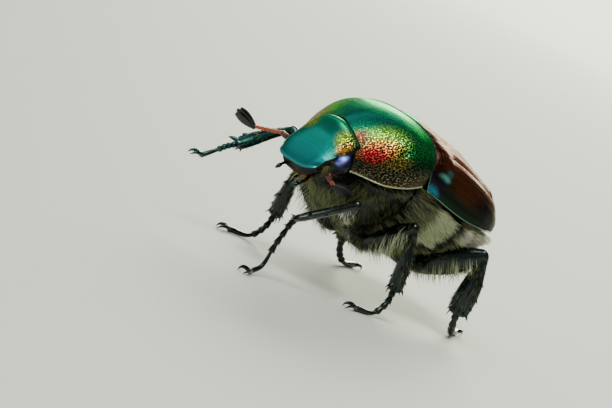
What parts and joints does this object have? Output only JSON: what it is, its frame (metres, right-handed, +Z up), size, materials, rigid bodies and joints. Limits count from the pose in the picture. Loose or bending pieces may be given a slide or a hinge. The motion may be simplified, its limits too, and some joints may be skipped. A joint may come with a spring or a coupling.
{
  "type": "japanese beetle model",
  "caption": "Still life-size japanese beetle, one front foot raised: green hood, ridged copper wing cases, white side tufts, spiny legs and fan-tipped feelers.",
  "frame": {"origin": "centre of the whole model's footprint, at the level of the floor it stands on", "axes": "+Z up, -Y where the head points, +X to the animal's left"},
  "size_m": [0.008, 0.0132, 0.0071],
  "materials": {
    "green_shield": "metallic green cuticle, finely pitted",
    "copper_case": "metallic copper-brown cuticle with ridges and a green edge",
    "under_plate": "bronze-black cuticle under pale hairs",
    "white_tufted_plate": "bronze-green rings with white bristle tufts",
    "leg": "black-green glossy cuticle",
    "eye": "dark glossy lens",
    "feeler": "orange-brown stalk with a black club",
    "mouth": "black and amber mouth pieces"
  },
  "bodies": {
    "root": {"head": "green_shield", "pronotum": "green_shield", "scutellum": "green_shield", "wing_case_left": "copper_case", "wing_case_right": "copper_case", "eye_left": "eye", "eye_right": "eye", "antenna_left": "feeler", "antenna_right": "feeler", "mouthparts": "mouth", "prothorax": "under_plate", "thorax": "under_plate", "abdomen": "white_tufted_plate", "pygidium": "white_tufted_plate", "coxa_front_left": "under_plate", "femur_front_left": "leg", "tibia_front_left": "leg", "tarsus_front_left": "leg", "coxa_front_right": "under_plate", "femur_front_right": "leg", "tibia_front_right": "leg", "tarsus_front_right": "leg", "coxa_mid_left": "under_plate", "femur_mid_left": "leg", "tibia_mid_left": "leg", "tarsus_mid_left": "leg", "coxa_mid_right": "under_plate", "femur_mid_right": "leg", "tibia_mid_right": "leg", "tarsus_mid_right": "leg", "coxa_hind_left": "under_plate", "femur_hind_left": "leg", "tibia_hind_left": "leg", "tarsus_hind_left": "leg", "coxa_hind_right": "under_plate", "femur_hind_right": "leg", "tibia_hind_right": "leg", "tarsus_hind_right": "leg"}
  },
  "joints": []
}
